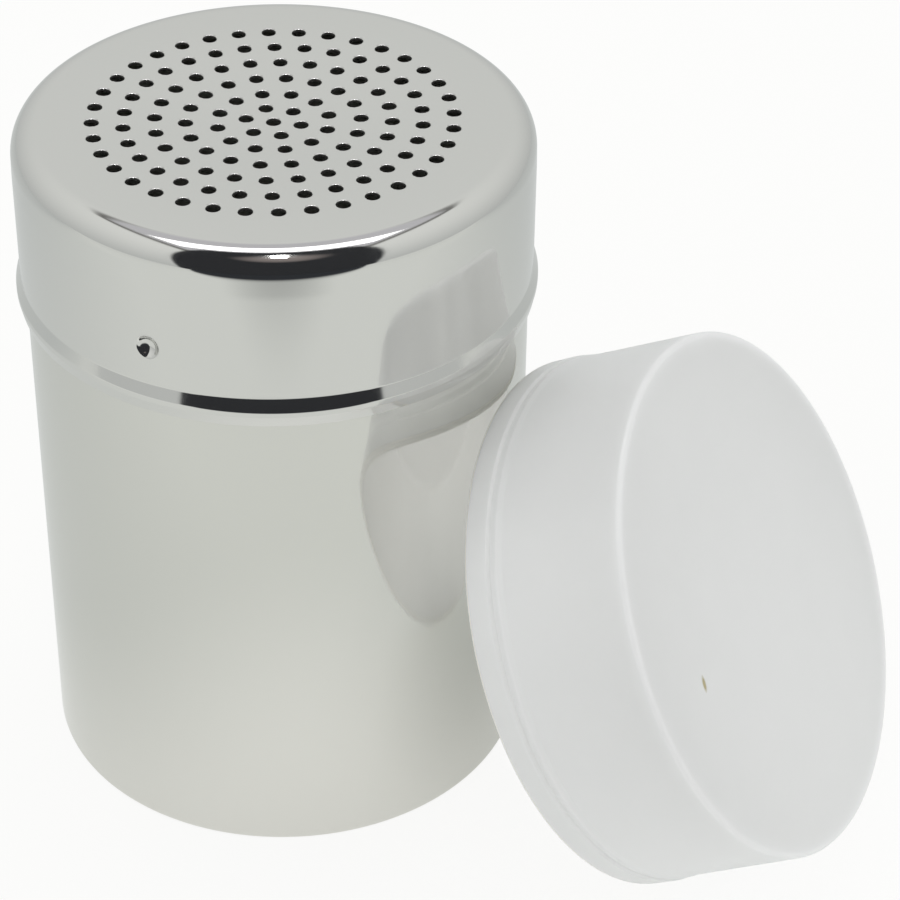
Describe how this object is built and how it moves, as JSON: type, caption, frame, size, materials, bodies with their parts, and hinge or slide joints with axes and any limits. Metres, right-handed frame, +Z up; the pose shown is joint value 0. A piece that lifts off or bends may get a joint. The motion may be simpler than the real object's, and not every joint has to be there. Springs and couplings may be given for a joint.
{
  "type": "spice shaker dispenser",
  "caption": "Cylindrical stainless steel spice shaker with a perforated twist-on lid and a translucent push-on cap that leans against it, taken off.",
  "frame": {"origin": "centre of the container's flat base, on the surface that the shaker stands on", "axes": "+Z up along the container's axis; -Y towards the viewer of the picture, +X to their right, where the cap leans"},
  "size_m": [0.1213, 0.1032, 0.0984],
  "materials": {
    "container_steel": "polished",
    "lid_steel": "polished",
    "cap_plastic": "milky, translucent, slightly glossy"
  },
  "bodies": {
    "container": {"container": "container_steel"},
    "lid": {"shaker_lid": "lid_steel"},
    "cap": {"plastic_cap": "cap_plastic"}
  },
  "joints": [
    {"name": "lid_lift", "type": "slide", "parent": "container", "child": "lid", "axis": [0, 0, 1], "range_m": [0, 0.04]},
    {"name": "cap_lift", "type": "slide", "parent": "container", "child": "cap", "axis": [0.7853, -0.383, 0.4863], "range_m": [0, 0.05]}
  ]
}
